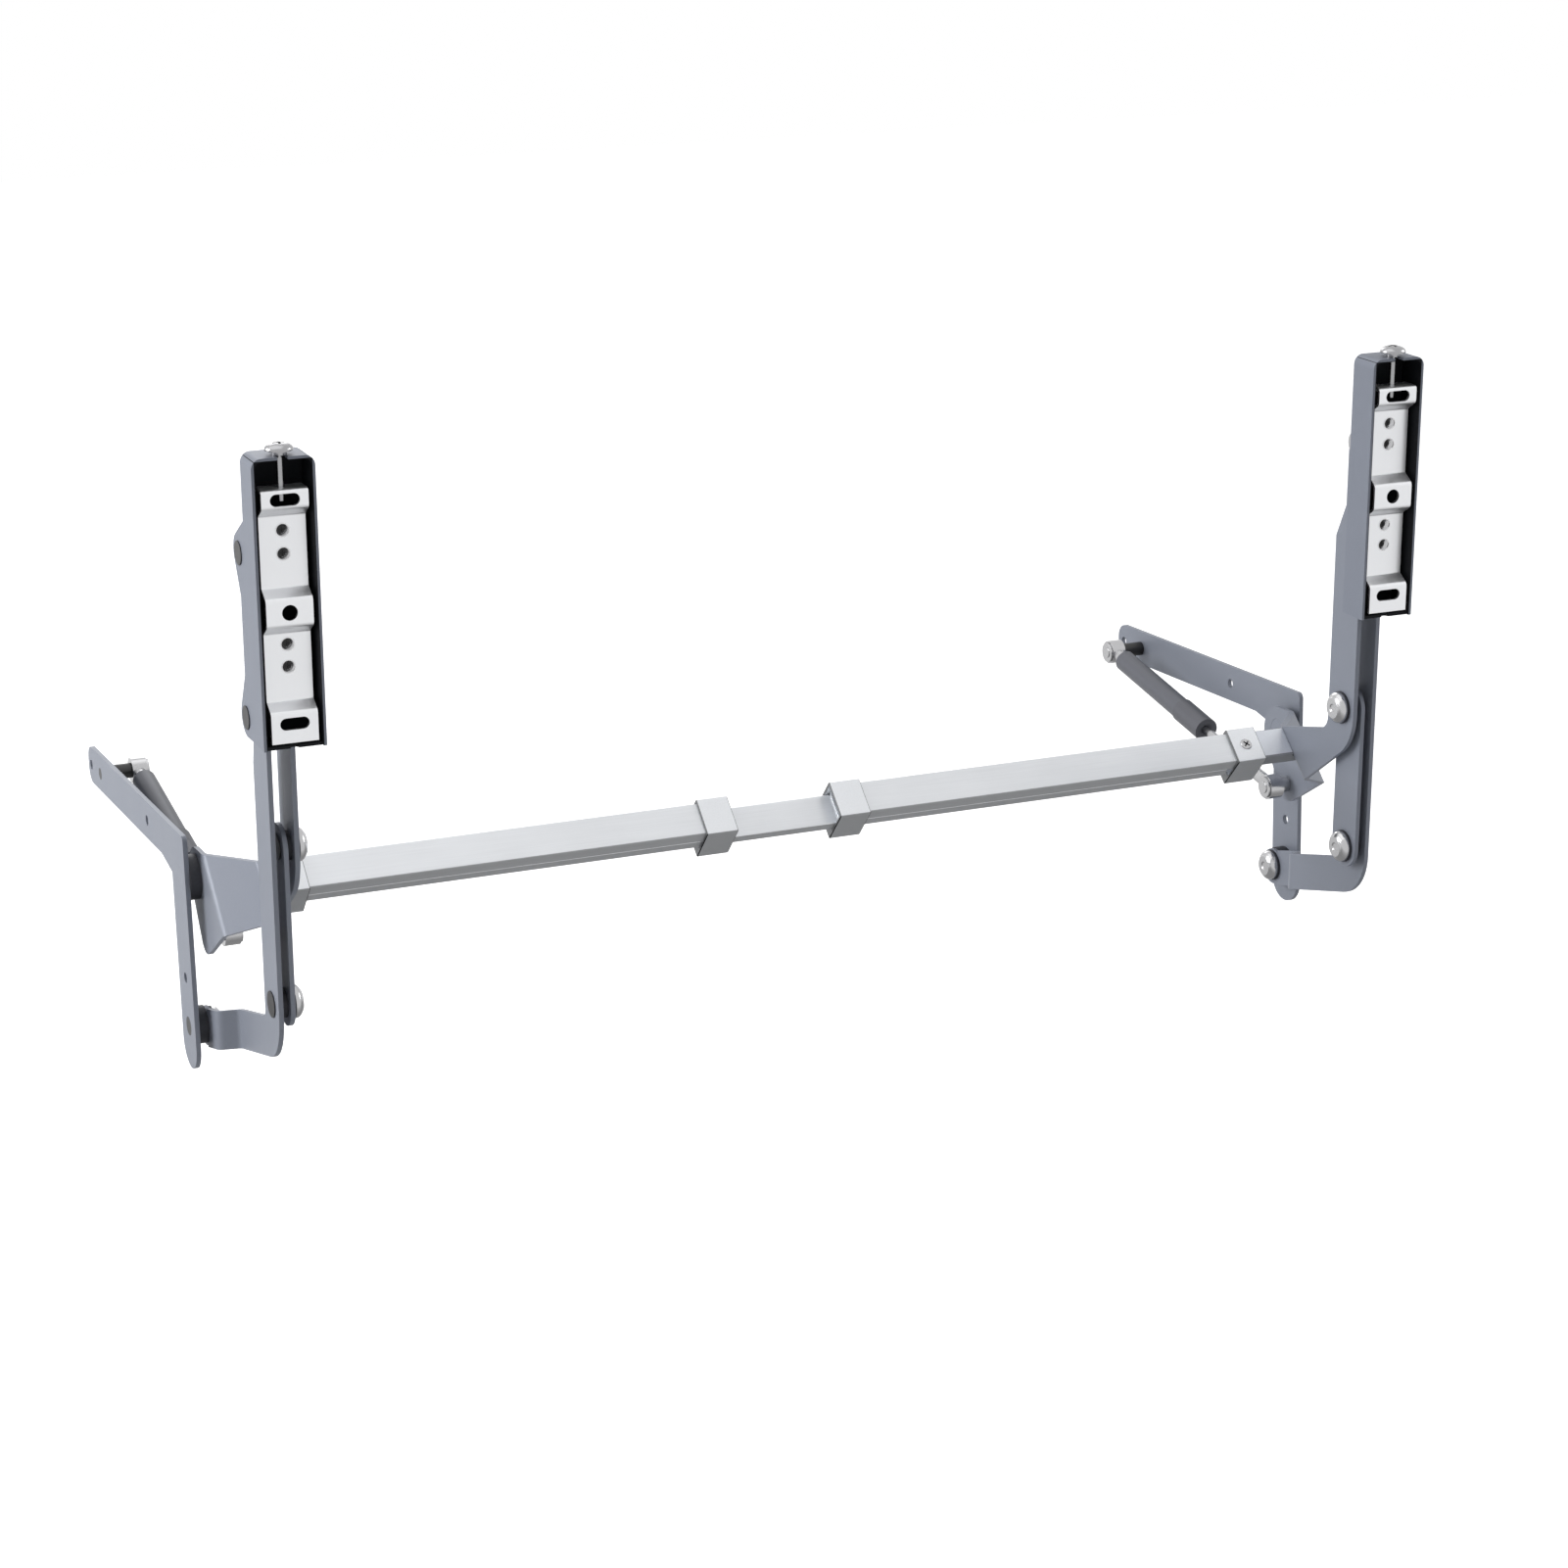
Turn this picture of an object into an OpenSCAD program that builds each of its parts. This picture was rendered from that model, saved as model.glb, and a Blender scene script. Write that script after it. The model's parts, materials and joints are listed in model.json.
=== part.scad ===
// Parallel lift-up fitting for a wall cabinet door: two mirrored mechanisms and the bar that joins them.
// Shown open. Millimetres, X to the right, Y back into the cabinet, Z up.

/* [Cabinet] */
// Distance between the mounting faces of the two wall plates
overall_w = 782.4; // [730:0.1:940]

/* [Pivots] */
// Height between the two pivots of each pair
pivot_pitch = 96; // [94:0.5:98]
// How far the knee pivots stand in front of the main pivots
knee_fwd = 119.5; // [118.5:0.5:120.5]
// How far the upper knee pivot stands over the main pivot
knee_up = 53; // [51:0.5:55]
// How far the bracket pivots stand in front of the main pivots
ear_fwd = 122.5; // [122:0.5:123]
// How far the upper bracket pivot stands over the main pivot
ear_up = 229; // [226:1:232]

/* [Wall plate] */
// Thickness of the plates, levers, arms and links
sheet_t = 3; // [2.8:0.1:3]
// Lean of the plate against the line through its two pivots, in degrees
plate_lean = 2.8; // [0:0.1:4]
// Width of the upright strip
strip_w = 33; // [32:0.5:34]
// Reach of the horizontal arm behind the main pivot
arm_reach = 247.5; // [245:0.5:260]
// Height of the horizontal arm
arm_h = 24.8; // [24:0.1:26]
// Diameter of the screw holes
screw_hole_d = 6.6; // [5:0.1:7]

/* [Door bracket] */
// Width of the channel
channel_w = 36.5; // [36:0.1:37]
// Height of the channel
channel_h = 167; // [166:1:170]
// Sheet thickness of the channel
channel_t = 2; // [1.8:0.1:2.2]
// Width of the adjuster plate
adjuster_w = 27; // [26:0.5:28]
// Distance from the middle hole to each slot of the adjuster plate
foot_pitch = 64; // [63.5:0.5:64.5]
// Diameter of the adjuster plate's middle hole
door_hole_d = 9; // [6:0.5:10]

/* [Gas spring] */
// Outer diameter of the tube
tube_d = 15.4; // [15:0.1:16]
// Diameter of the rod
rod_d = 6; // [6:0.5:7]
// Inner diameter of the eyes, which is the diameter of the studs
stud_d = 8; // [7:0.5:8]

/* [Stabiliser bar] */
// Tilt of the wide face, front edge down, in degrees
bar_tilt = 42; // [42:0.5:43]
// Width of the outer bars
bar_w = 22.4; // [22:0.1:22.6]
// Thickness of the outer bars
bar_t = 10.1; // [9.9:0.1:10.1]
// Thickness of the centre bar
centre_t = 7.8; // [7.6:0.1:7.8]
// Length of each collar
collar_l = 21; // [18:0.5:22]

/* [Rivets] */
// Diameter of the large domed heads
head_d = 20.4; // [19:0.1:21]

/* [Hidden] */
$fn = 64;
half_w = overall_w / 2;
fit = 0.05;   // radial running clearance
gap = 0.1;    // end clearance between moving faces

steel = [0.55, 0.57, 0.61];
zinc = [0.85, 0.86, 0.88];
aluminium = [0.80, 0.82, 0.85];
nickel = [0.82, 0.82, 0.83];
dark = [0.20, 0.21, 0.24];
tube_grey = [0.48, 0.49, 0.52];

// Pivots as [y, z], measured from the main pivot
main_pivot = [0, 0];
arm_pivot = [0, -pivot_pitch];
knee_pivot = [-knee_fwd, knee_up];
link_pivot = [-knee_fwd, knee_up - pivot_pitch];
ear_pivot = [-ear_fwd, ear_up];
low_ear_pivot = [-ear_fwd, ear_up - pivot_pitch];

// Outer face of each layer, as its depth inside the mounting face
rear_layer = 10;
arm_layer = 22;
link_layer = 29.5;
lever_layer = 36;
bracket_layer = 14.7;

// Legs that rise to the door bracket
leg_front = -134.2;
leg_rear = -104;
arm_rear = -103;

// Wall plate, in its own leaning axes
strip_front = -11.5;
strip_rear = strip_front + strip_w;
strip_r = strip_w / 2;
strip_bottom = -123;
arm_bottom = 4;
arm_top = arm_bottom + arm_h;
tip_r = 10;
low_screw = [4.7, -64.7];
mid_screw = [82, 16.4];
tip_screw = [239, 16.4];
upper_stud_at = [213, 16];

// Rivets and pins
main_pin_r = 7;
arm_pin_r = 6;
knee_pin_r = 5;
ear_pin_r = 4;
main_spacer_r = 14;
arm_spacer_r = 11.8;
washer_r = 10.6;
washer_t = 1.6;
rivet_end_t = 0.7;
flush_head_r = 9.5;
flush_head_t = 1.35;

// Lever folds, as heights over the main pivot square to the bar's wide face
front_fold = 45.7;
rear_fold = 24;
fold_r = 4.5;
arm_fold_r = 7;

// Door bracket
channel_rear = leg_front - 0.6;
channel_front = -158;
channel_top = ear_up + 60;
channel_bottom = channel_top - channel_h;
corner_r = 6;
bracket_mid = bracket_layer + channel_w / 2;
ear_r = 11.5;
adjuster_screw_y = -150.3;
adjuster_screw_r = 2;
flange_slot_r = 3.1;

// Adjuster plate
adjuster_t = 2;
foot_face = -158.5;
field_face = -150.3;
foot_mid = 201;
slot_l = 17;
slot_h = 7;
tilt_screw_z = [45.3, 31.9, -20, -33];
tilt_screw_r = 2;
tilt_head_r = 4.1;

// Gas spring
lower_stud_at = [-15, -33];
spring_layer = 25.2;
eye_r = 8.4;
eye_half = 5;
neck_r = 4.5;
tube_start = 17;
tube_end = 137;
sleeve_start = 105;
sleeve_end = 139.5;
bush_start = 127;
piston_at = 119;
piston_l = 5;

// Stabiliser bar, in axes turned with its wide face
bar_y = -32.4;
bar_z = 34.55;
bar_top = 12.3;
bar_low = bar_top - bar_t;
centre_w = 21.5;
centre_top = bar_low - gap;
collar_half_w = 13;
collar_half_h = 13.95;
bar_wall = 1.2;
clamp_r = 2.4;
lever_face = lever_layer + sheet_t;
left_bar_end = half_w - 53;
right_bar_end = half_w - 22;
left_mid_collar = half_w - 72.5;
right_mid_collar = half_w - 39.8;
left_end_collar = half_w - 349.5;
right_end_collar = half_w - 330;
centre_start = half_w - 345;
centre_l = 651;

// Sides of the cabinet
left = -1;
right = 1;

function leaning(p) = [
    p[0] * cos(plate_lean) + p[1] * sin(plate_lean),
    p[1] * cos(plate_lean) - p[0] * sin(plate_lean)
];

upper_stud = leaning(upper_stud_at);
origin_hole = leaning(low_screw);
spring_run = lower_stud_at - upper_stud;
spring_l = norm(spring_run);
spring_angle = atan2(-spring_run[0], spring_run[1]);

function arc(centre, r, from, to, steps = 8) = [
    for (i = [0 : steps])
        let (a = from + (to - from) * i / steps)
        centre + r * [cos(a), sin(a)]
];

// Places one side's geometry, drawn for the right side, in the part's frame
module on_side(side) {
    translate([half_w, -origin_hole[0], -origin_hole[1]]) {
        if (side == left) {
            mirror([1, 0, 0]) children();
        } else {
            children();
        }
    }
}

// Sheet cut to a [y, z] outline, with its outer face at a depth inside the mounting face
module in_layer(depth, t = sheet_t) {
    translate([half_w - depth - t, 0, 0])
        rotate([90, 0, 90])
        linear_extrude(t)
        children();
}

// Round bar along X between two depths
module pin(at, from, to, r) {
    translate([half_w - to, at[0], at[1]])
        rotate([0, 90, 0])
        cylinder(r = r, h = to - from);
}

module ring(at, from, to, outer, inner) {
    difference() {
        pin(at, from, to, outer);
        pin(at, from - 1, to + 1, inner);
    }
}

// Large domed rivet head with a flat, dimpled top, which rises inwards from a depth
module domed_head(at, depth) {
    rim = 1.2;
    shoulder = 4.8;
    top = 5.4;
    top_r = 7.4;
    dimple_r = 3;
    r = head_d / 2;
    sweep = acos(top_r / r);
    translate([half_w - depth, at[0], at[1]])
        rotate([0, -90, 0])
        rotate_extrude()
        polygon(concat(
            [[0, 0], [r, 0]],
            [for (i = [0 : 6])
                let (a = i / 6 * sweep)
                [r * cos(a), rim + (shoulder - rim) * sin(a) / sin(sweep)]],
            [[top_r - 0.7, top], [dimple_r, top], [dimple_r - 0.8, shoulder], [0, shoulder]]
        ));
}

// Straight-sided outline round two circles
module strap(a, ra, b, rb) {
    run = b - a;
    along = atan2(run[1], run[0]);
    spread = acos((ra - rb) / norm(run));
    translate(a) circle(r = ra);
    translate(b) circle(r = rb);
    polygon([for (c = [[a, ra, -1], [b, rb, -1], [b, rb, 1], [a, ra, 1]])
        c[0] + c[1] * [cos(along + c[2] * spread), sin(along + c[2] * spread)]]);
}

// Fills an inner corner with a round of radius r; the two edges leave the corner at angles a and b
module inner_round(corner, a, b, r) {
    half = (b - a) / 2;
    mid = corner + r / sin(half) * [cos(a + half), sin(a + half)];
    reach = r / tan(half);
    difference() {
        polygon([
            corner,
            corner + reach * [cos(a), sin(a)],
            mid,
            corner + reach * [cos(b), sin(b)]
        ]);
        translate(mid) circle(r = r);
    }
}

// Plan of a sheet that jogs from the plane x = xa to x = xb between the distances sa and sb
module jog(xa, sa, xb, sb, reach_a, reach_b, r) {
    turn = atan2(xb - xa, sa - sb);
    back = r * tan(turn / 2);
    half = sheet_t / 2;
    ca = [xa + r, sa + back];
    cb = [xb - r, sb - back];
    polygon(concat(
        [[xa + half, reach_a]],
        arc(ca, r - half, 180, 180 + turn),
        arc(cb, r + half, turn, 0),
        [[xb + half, reach_b], [xb - half, reach_b]],
        arc(cb, r - half, 0, turn),
        arc(ca, r + half, 180 + turn, 180),
        [[xa - half, reach_a]]
    ));
}

module plate_outline() {
    rotate(-plate_lean) {
        translate([strip_front + strip_r, strip_bottom + strip_r]) circle(r = strip_r);
        translate([strip_front, strip_bottom + strip_r])
            square([strip_w, arm_bottom - strip_bottom]);
        translate([strip_front + 4, arm_top - 4]) circle(r = 4);
        translate([strip_front, arm_bottom]) square([arm_reach - strip_front - tip_r, arm_h - 4]);
        translate([strip_front + 4, arm_bottom]) square([arm_reach - strip_front - tip_r - 4, arm_h]);
        translate([arm_reach - tip_r, arm_bottom + tip_r]) square([tip_r, arm_h - 2 * tip_r]);
        for (z = [arm_bottom + tip_r, arm_top - tip_r]) {
            translate([arm_reach - tip_r, z]) circle(r = tip_r);
        }
        polygon([[47, arm_bottom], [strip_rear - 1, arm_bottom], [strip_rear - 1, -1.5], [strip_rear, -1.5]]);
    }
}

module wall_plate(side) {
    color(steel) on_side(side) difference() {
        in_layer(0) plate_outline();
        pin(main_pivot, -1, 4, main_pin_r);
        pin(arm_pivot, -1, 4, arm_pin_r);
        pin(upper_stud, -1, 4, stud_d / 2);
        for (hole = [low_screw, mid_screw, tip_screw]) {
            pin(leaning(hole), -1, 4, screw_hole_d / 2);
        }
    }
}

module main_pivot_pin(side) {
    color(nickel) on_side(side) {
        pin(main_pivot, 0, rear_layer + sheet_t - fit, main_pin_r);
        pin(main_pivot, rear_layer + sheet_t - flush_head_t, rear_layer + sheet_t - fit, flush_head_r);
    }
}

module arm_pivot_rivet(side) {
    head_depth = rear_layer + sheet_t + gap + washer_t;
    color(nickel) on_side(side) {
        pin(arm_pivot, 0, head_depth, arm_pin_r);
        domed_head(arm_pivot, head_depth);
    }
}

module wall_washers(side) {
    color(dark) on_side(side) {
        ring(main_pivot, sheet_t, rear_layer - gap, main_spacer_r, main_pin_r);
        ring(arm_pivot, sheet_t, rear_layer - gap, arm_spacer_r, arm_pin_r);
        ring(arm_pivot, rear_layer + sheet_t + gap, rear_layer + sheet_t + gap + washer_t,
            washer_r, arm_pin_r);
    }
}

// Stud that carries an eye of the gas spring, from a depth inwards
module stud(at, from, shoulder_from) {
    eye_outer = spring_layer - eye_half - gap;
    eye_inner = spring_layer + eye_half + gap;
    pin(at, from, eye_inner + 1.9, stud_d / 2);
    pin(at, shoulder_from, eye_outer, 5);
    pin(at, eye_inner, eye_inner + 1.3, 7.2);
}

module upper_stud_part(side) {
    color(nickel) on_side(side) stud(upper_stud, 0, sheet_t);
}

module lower_stud(side) {
    foot = rear_layer + sheet_t + gap;
    color(nickel) on_side(side) stud(lower_stud_at, foot, foot);
}

module lever_outline() {
    bend = [-99.7, 50];
    bend_r = bend[0] - leg_front;
    top_corner = [leg_rear, 34.9];
    polygon(concat(
        [[0, 18], [-46, 20], top_corner, [leg_rear, 165], [-114.5, 187], ear_pivot,
            [-130.5, 195], [leg_front, 175]],
        arc(bend, bend_r, 180, 234, 14),
        [[-79, -7.7], [-58, -20], lower_stud_at]
    ));
    inner_round(top_corner, -14.5, 90, 10);
    strap(main_pivot, 18, lower_stud_at, 12);
    strap([-56.5, -18.5], 2, lower_stud_at, 12);
    strap([-122.5, 187], 8, ear_pivot, 8);
}

module upper_lever(side) {
    front_x = half_w - lever_layer - sheet_t / 2;
    rear_x = half_w - rear_layer - sheet_t / 2;
    color(steel) on_side(side) difference() {
        intersection() {
            in_layer(0, 60) lever_outline();
            rotate([bar_tilt, 0, 0])
                translate([0, 300, 0])
                rotate([90, 0, 0])
                linear_extrude(600)
                jog(front_x, front_fold, rear_x, rear_fold, 400, -100, fold_r);
        }
        pin(main_pivot, rear_layer - 1, rear_layer + sheet_t + 1, main_pin_r + fit);
        pin(main_pivot, rear_layer + sheet_t - flush_head_t - fit, rear_layer + sheet_t + 1,
            flush_head_r + gap);
        pin(knee_pivot, lever_layer - 1, lever_layer + sheet_t + 1, knee_pin_r);
        pin(ear_pivot, lever_layer - 1, lever_layer + sheet_t + 1, ear_pin_r + fit);
    }
}

module knee_rivet(side) {
    head_depth = lever_layer + sheet_t + washer_t;
    color(nickel) on_side(side) {
        pin(knee_pivot, link_layer - gap - rivet_end_t, head_depth, knee_pin_r);
        pin(knee_pivot, link_layer - gap - rivet_end_t, link_layer - gap, 8);
        domed_head(knee_pivot, head_depth);
    }
}

module knee_washers(side) {
    color(dark) on_side(side) {
        ring(knee_pivot, link_layer + sheet_t + gap, lever_layer, 9, knee_pin_r);
        ring(knee_pivot, lever_layer + sheet_t, lever_layer + sheet_t + washer_t, washer_r, knee_pin_r);
    }
}

module arm_outline() {
    slope = 16;
    rise = tan(slope);
    low_line = -94 - 60 * rise;
    top_line = -68.6 - 60 * rise;
    corner_r = 33;
    corner = [leg_front, low_line - leg_front * rise];
    back = corner_r * tan((90 - slope) / 2);
    inner = [arm_rear, top_line - arm_rear * rise];
    polygon(concat(
        [[leg_front, low_ear_pivot[1]]],
        arc([leg_front + corner_r, corner[1] + back], corner_r, 180, 270 - slope, 12),
        [[-6, low_line + 6 * rise], arm_pivot, [-6, top_line + 6 * rise], inner, [arm_rear, 100],
            [-110.8, low_ear_pivot[1]]]
    ));
    inner_round(inner, -slope, 90, 6);
    translate(arm_pivot - [0, 1.2]) circle(r = 12.4);
    translate(low_ear_pivot) circle(r = 11.7);
}

module lower_arm(side) {
    front_x = half_w - arm_layer - sheet_t / 2;
    rear_x = half_w - rear_layer - sheet_t / 2;
    color(steel) on_side(side) difference() {
        intersection() {
            in_layer(0, 60) arm_outline();
            translate([0, 0, -200])
                linear_extrude(400)
                mirror([0, 1])
                jog(front_x, 40, rear_x, 31.5, 200, -50, arm_fold_r);
        }
        pin(arm_pivot, rear_layer - 1, rear_layer + sheet_t + 1, arm_pin_r + fit);
        pin(link_pivot, arm_layer - 1, arm_layer + sheet_t + 1, knee_pin_r + fit);
        pin(low_ear_pivot, arm_layer - 1, arm_layer + sheet_t + 1, ear_pin_r + fit);
    }
}

module link(side) {
    color(steel) on_side(side) difference() {
        in_layer(link_layer) strap(knee_pivot, 14, link_pivot, 14);
        pin(knee_pivot, link_layer - 1, link_layer + sheet_t + 1, knee_pin_r + fit);
        pin(link_pivot, link_layer - 1, link_layer + sheet_t + 1, knee_pin_r);
    }
}

module link_rivet(side) {
    head_depth = link_layer + sheet_t + washer_t;
    color(nickel) on_side(side) {
        pin(link_pivot, arm_layer - gap - rivet_end_t, head_depth, knee_pin_r);
        pin(link_pivot, arm_layer - gap - rivet_end_t, arm_layer - gap, 8);
        domed_head(link_pivot, head_depth);
    }
}

module link_washers(side) {
    color(dark) on_side(side) {
        ring(link_pivot, arm_layer + sheet_t + gap, link_layer, 9, knee_pin_r);
        ring(link_pivot, link_layer + sheet_t, link_layer + sheet_t + washer_t, washer_r, knee_pin_r);
    }
}

// Front view of the channel, drawn in [x, z] with round top corners and square low ones
module channel_face(inset) {
    r = corner_r - inset;
    w = channel_w - 2 * inset;
    top = channel_top - inset;
    low = channel_bottom + inset;
    x = half_w - bracket_mid;
    translate([x - w / 2, low]) square([w, top - r - low]);
    translate([x - w / 2 + r, top - r - 1]) square([w - 2 * r, r + 1]);
    for (s = [-1, 1]) {
        translate([x + s * (w / 2 - r), top - r]) circle(r = r);
    }
}

module across(front, rear) {
    translate([0, rear, 0])
        rotate([90, 0, 0])
        linear_extrude(rear - front)
        children();
}

module ear_outline() {
    waist_r = 8;
    waist_y = -122.8 - waist_r;
    waist = [[waist_y, ear_up - 23], [waist_y, ear_up - pivot_pitch + 23]];
    strap(ear_pivot, ear_r, waist[0], waist_r);
    strap(waist[0], waist_r, waist[1], waist_r);
    strap(waist[1], waist_r, low_ear_pivot, ear_r);
    strap(ear_pivot, ear_r, [-142, 246], 7);
    strap(low_ear_pivot, ear_r, [-142, channel_bottom + 7], 7);
}

module door_bracket(side) {
    screw_x = half_w - bracket_mid;
    inner_w = channel_w - 2 * channel_t;
    low_flange_front = foot_face + adjuster_t + 0.5;
    notch_r = 2.5;
    color(steel) on_side(side) difference() {
        union() {
            difference() {
                across(channel_front, channel_rear) channel_face(0);
                across(channel_front - 1, channel_rear - channel_t) channel_face(channel_t);
            }
            in_layer(bracket_layer, channel_t) ear_outline();
        }
        pin(ear_pivot, bracket_layer - 1, bracket_layer + channel_t + 1, ear_pin_r);
        pin(low_ear_pivot, bracket_layer - 1, bracket_layer + channel_t + 1, ear_pin_r);
        translate([screw_x, 0, channel_top - channel_t - 1]) linear_extrude(channel_t + 2) {
            translate([0, adjuster_screw_y]) circle(r = flange_slot_r);
            translate([-flange_slot_r, channel_front - 1])
                square([2 * flange_slot_r, adjuster_screw_y - channel_front + 1]);
        }
        translate([screw_x - inner_w / 2, channel_front - 1, channel_bottom - 1])
            cube([inner_w, low_flange_front - channel_front + 1, channel_t + 2]);
        translate([screw_x, low_flange_front, channel_bottom - 1])
            cylinder(r = notch_r, h = channel_t + 2);
    }
}

// Pin through an ear, riveted outside and headed inside the part that turns on it
module ear_pin(at, head_from, head_r) {
    pin(at, bracket_layer - rivet_end_t, head_from + 1.5, ear_pin_r);
    pin(at, bracket_layer - rivet_end_t, bracket_layer, 7);
    pin(at, head_from, head_from + 1.5, head_r);
}

module bracket_pins(side) {
    color(nickel) on_side(side) {
        ear_pin(ear_pivot, lever_layer + sheet_t + gap, 7);
        ear_pin(low_ear_pivot, arm_layer + sheet_t + gap, 8);
    }
}

module bracket_spacers(side) {
    color(dark) on_side(side) {
        ring(ear_pivot, bracket_layer + channel_t, lever_layer - gap, 7, ear_pin_r);
        ring(low_ear_pivot, bracket_layer + channel_t, arm_layer - gap, 8, ear_pin_r);
    }
}

// Middle line of the adjuster plate's sheet, as [y, z], from its lip down
mid_foot = foot_face + adjuster_t / 2;
mid_field = field_face + adjuster_t / 2;
adjuster_lip = foot_mid + 68.9;
adjuster_path = [
    [-144.5, adjuster_lip], [mid_foot, adjuster_lip],
    [mid_foot, foot_mid + 59.7], [mid_field, foot_mid + 54.3],
    [mid_field, foot_mid + 12.4], [mid_foot, foot_mid + 7],
    [mid_foot, foot_mid - 7.3], [mid_field, foot_mid - 12.7],
    [mid_field, foot_mid - 52.8], [mid_foot, foot_mid - 58.2],
    [mid_foot, foot_mid - 75.1]
];

function leftward(v) = [-v[1], v[0]] / norm(v);

function rolled(v, a) = [v[0] * cos(a) - v[1] * sin(a), v[0] * sin(a) + v[1] * cos(a)];

// Round of radius r at an inner corner of a path, at a distance to the left of the path
function bend(path, i, r, aside, steps = 6) =
    let (from = path[i] - path[i - 1])
    let (normal = leftward(from))
    let (to = path[i + 1] - path[i])
    let (turn = atan2(normal * to, from * to / norm(from)))
    let (centre = path[i] - r * tan(abs(turn) / 2) * from / norm(from) + sign(turn) * r * normal)
    [for (k = [0 : steps]) centre + (aside - sign(turn) * r) * rolled(normal, turn * k / steps)];

// One face of a bent sheet, at a distance to the left of its path
function bent_face(path, r, aside) =
    let (last = len(path) - 1)
    concat(
        [path[0] + aside * leftward(path[1] - path[0])],
        [for (i = [1 : last - 1]) each bend(path, i, i == 1 ? 1.6 : r, aside)],
        [path[last] + aside * leftward(path[last] - path[last - 1])]
    );

module slot(z, length, height) {
    for (s = [-1, 1]) {
        translate([s * (length - height) / 2, z]) circle(d = height);
    }
    translate([-(length - height) / 2, z - height / 2]) square([length - height, height]);
}

module adjuster_plate(side) {
    right_face = bent_face(adjuster_path, 2.6, -adjuster_t / 2);
    left_face = bent_face(adjuster_path, 2.6, adjuster_t / 2);
    outline = concat(left_face, [for (i = [len(right_face) - 1 : -1 : 0]) right_face[i]]);
    middle = half_w - bracket_mid;
    color(zinc) on_side(side) difference() {
        translate([middle - adjuster_w / 2, 0, 0])
            rotate([90, 0, 90])
            linear_extrude(adjuster_w)
            polygon(outline);
        translate([middle, 0, 0]) across(foot_face - 1, foot_face + adjuster_t + 1) {
            slot(foot_mid + foot_pitch, slot_l, slot_h);
            slot(foot_mid - foot_pitch, slot_l, slot_h);
            translate([0, foot_mid]) circle(d = door_hole_d);
        }
        translate([middle, 0, 0]) across(field_face - 1, field_face + adjuster_t + 1) {
            for (z = tilt_screw_z) {
                translate([0, foot_mid + z]) circle(r = tilt_head_r);
            }
        }
        translate([middle, adjuster_screw_y, adjuster_lip - 5])
            cylinder(r = adjuster_screw_r + fit, h = 10);
    }
}

module cross_recess(size, depth) {
    for (a = [0, 90]) {
        rotate(a) translate([-size / 2, -size / 10, -depth]) cube([size, size / 5, depth + 5]);
    }
}

// Screws in the fields of the adjuster plate that push against the channel and set the door's tilt
module tilt_screws(side) {
    proud = 0.4;
    head_l = 4;
    cup = 3;
    shank_l = channel_rear - channel_t - field_face - 3 * gap;
    color(nickel) on_side(side)
        for (z = tilt_screw_z) {
            translate([half_w - bracket_mid, field_face - proud, foot_mid + z])
                rotate([-90, 0, 0])
                difference() {
                    union() {
                        cylinder(r = tilt_head_r, h = head_l);
                        cylinder(r = tilt_screw_r, h = shank_l);
                    }
                    translate([0, 0, -gap]) cylinder(r1 = 3.7, r2 = 2.1, h = cup + gap);
                    mirror([0, 0, 1]) translate([0, 0, -cup]) cross_recess(2.8, 0.7);
                }
        }
}

// Hangs in the slot of the channel's closed end: a domed cross head on a low neck
module adjuster_screw(side) {
    head_r = 8;
    head_h = 4.4;
    neck_r = 4.4;
    neck_h = 2.4;
    color(nickel) on_side(side)
        translate([half_w - bracket_mid, adjuster_screw_y, channel_top + gap])
        difference() {
            union() {
                cylinder(r = neck_r, h = neck_h + 0.5);
                translate([0, 0, neck_h])
                    rotate_extrude()
                    polygon(concat(
                        [[0, 0], [head_r, 0]],
                        [for (i = [0 : 8])
                            let (a = i * 90 / 8)
                            [head_r * cos(a), 0.8 + (head_h - 0.8) * sin(a)]]
                    ));
                translate([0, 0, -26]) cylinder(r = adjuster_screw_r, h = 27);
            }
            translate([0, 0, neck_h + head_h]) cross_recess(7, 2.6);
        }
}

// Puts a solid drawn up the Z axis along the gas spring, from the upper stud towards the lower one
module along_spring(from = 0) {
    translate([half_w - spring_layer, upper_stud[0], upper_stud[1]])
        rotate([spring_angle, 0, 0])
        translate([0, 0, from])
        children();
}

module eye(at, bore_r) {
    ring(at, spring_layer - eye_half, spring_layer + eye_half, eye_r, bore_r);
}

module spring_tube(side) {
    wall = 1.2;
    color(tube_grey) on_side(side) along_spring(tube_start) difference() {
        cylinder(d = tube_d, h = tube_end - tube_start);
        translate([0, 0, 3]) cylinder(d = tube_d - 2 * wall, h = tube_end - tube_start);
    }
}

module spring_tube_eye(side) {
    color(nickel) on_side(side) {
        eye(upper_stud, stud_d / 2 + fit);
        along_spring(eye_r - 1) cylinder(r = neck_r, h = tube_start - eye_r + 1);
    }
}

module spring_sleeve(side) {
    bore_r = rod_d / 2 + fit;
    color(dark) on_side(side) along_spring() difference() {
        translate([0, 0, sleeve_start]) cylinder(r = 8.6, h = sleeve_end - sleeve_start);
        difference() {
            translate([0, 0, sleeve_start - 1]) cylinder(d = tube_d, h = tube_end - sleeve_start + 1);
            translate([0, 0, bush_start]) cylinder(d = tube_d - 2.4, h = sleeve_end - bush_start);
        }
        translate([0, 0, bush_start - 1]) cylinder(r = bore_r, h = sleeve_end - bush_start + 2);
        translate([0, 0, sleeve_end - 1.2]) cylinder(r1 = bore_r, r2 = bore_r + 2.5, h = 1.3);
    }
}

module spring_rod(side) {
    color(nickel) on_side(side)
        along_spring(piston_at)
        cylinder(d = rod_d, h = spring_l - 12 - piston_at);
}

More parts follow.
